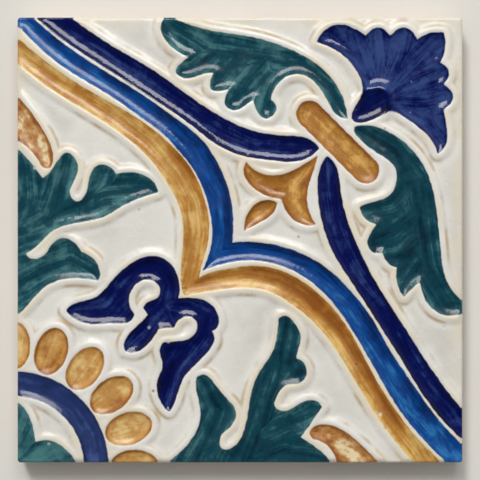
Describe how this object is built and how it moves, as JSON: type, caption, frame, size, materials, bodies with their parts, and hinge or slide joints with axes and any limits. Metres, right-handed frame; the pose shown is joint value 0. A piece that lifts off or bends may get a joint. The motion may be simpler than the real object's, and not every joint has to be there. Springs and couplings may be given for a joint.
{
  "type": "hand-painted relief tile",
  "caption": "Square glazed wall tile with a pressed relief of leaves, ribbon bands, a bow and a quarter medallion, painted in blue, green and ochre on white.",
  "frame": {"origin": "centre of the bed face, the plain back that lies on the floor or against the wall", "axes": "+Z out of the decorated face; +X and +Y along the sides, with the quarter medallion in the corner at -X -Y and the flower in the corner at +X +Y"},
  "size_m": [0.14, 0.14, 0.0109],
  "materials": {
    "glaze": "glossy uneven glazes in cobalt, azure, green and ochre between cream-white ridges, on a bare buff clay back and sides"
  },
  "bodies": {
    "root": {"tile": "glaze"}
  },
  "joints": []
}
